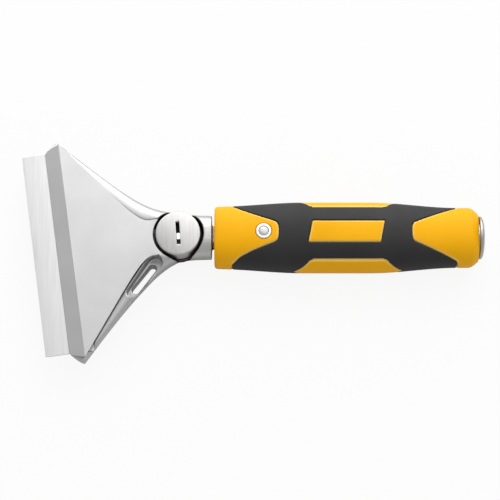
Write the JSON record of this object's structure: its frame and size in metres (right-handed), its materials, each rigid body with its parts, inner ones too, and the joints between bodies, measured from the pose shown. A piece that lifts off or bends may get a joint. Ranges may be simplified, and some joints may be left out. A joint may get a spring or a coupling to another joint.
{
  "type": "floor scraper",
  "caption": "Long-handled floor scraper: a flared cast head with a coin-slotted clamp dial holds a wide flat blade, on a two-material oval grip with a steel striking cap.",
  "frame": {"origin": "under the middle of the whole tool, on the plane that it lies on, dial side up", "axes": "+X along the handle from the blade to the striking cap, +Z out of the dial side, +Y across the handle"},
  "size_m": [0.2226, 0.1094, 0.025],
  "materials": {
    "cast_aluminium": "satin die cast",
    "blade_steel": "ground",
    "brushed_steel": "brushed",
    "dark_steel": "oiled",
    "cap_steel": "turned",
    "yellow_plastic": "fine moulded texture",
    "black_rubber": "soft matte"
  },
  "bodies": {
    "handle_and_head": {"head_casting": "cast_aluminium", "guide_pin_left": "dark_steel", "guide_pin_right": "dark_steel", "lift_spring": "dark_steel", "stud_insert": "dark_steel", "handle_core": "yellow_plastic", "grip_sleeve": "black_rubber", "handle_rivet": "brushed_steel", "rivet_ferrule_top": "brushed_steel", "rivet_ferrule_bottom": "brushed_steel", "tie_rod": "dark_steel", "cap_lock_washer": "dark_steel", "butt_cap": "cap_steel"},
    "upper_jaw": {"clamp_plate": "cast_aluminium", "dial_washer": "brushed_steel"},
    "dial": {"clamp_dial": "brushed_steel", "clamp_stud": "brushed_steel", "retaining_clip": "dark_steel"},
    "blade": {"scraper_blade": "blade_steel"}
  },
  "joints": [
    {"name": "jaw_lift", "type": "slide", "parent": "handle_and_head", "child": "upper_jaw", "axis": [0, 0, 1], "range_m": [0, 0.001], "deforming": ["lift_spring"]},
    {"name": "dial_turn", "type": "hinge", "parent": "upper_jaw", "child": "dial", "pos_m": [-0.03516, 0.00751, 0.0125], "axis": [0, 0, 1], "range_deg": [0, 360]},
    {"name": "blade_slide", "type": "slide", "parent": "handle_and_head", "child": "blade", "axis": [-0.9895, -0.1444, 0], "range_m": [0, 0.03]}
  ],
  "couplings": [
    {"joint": "dial_turn", "follows": "jaw_lift", "rad_per_m": 6283.2}
  ]
}
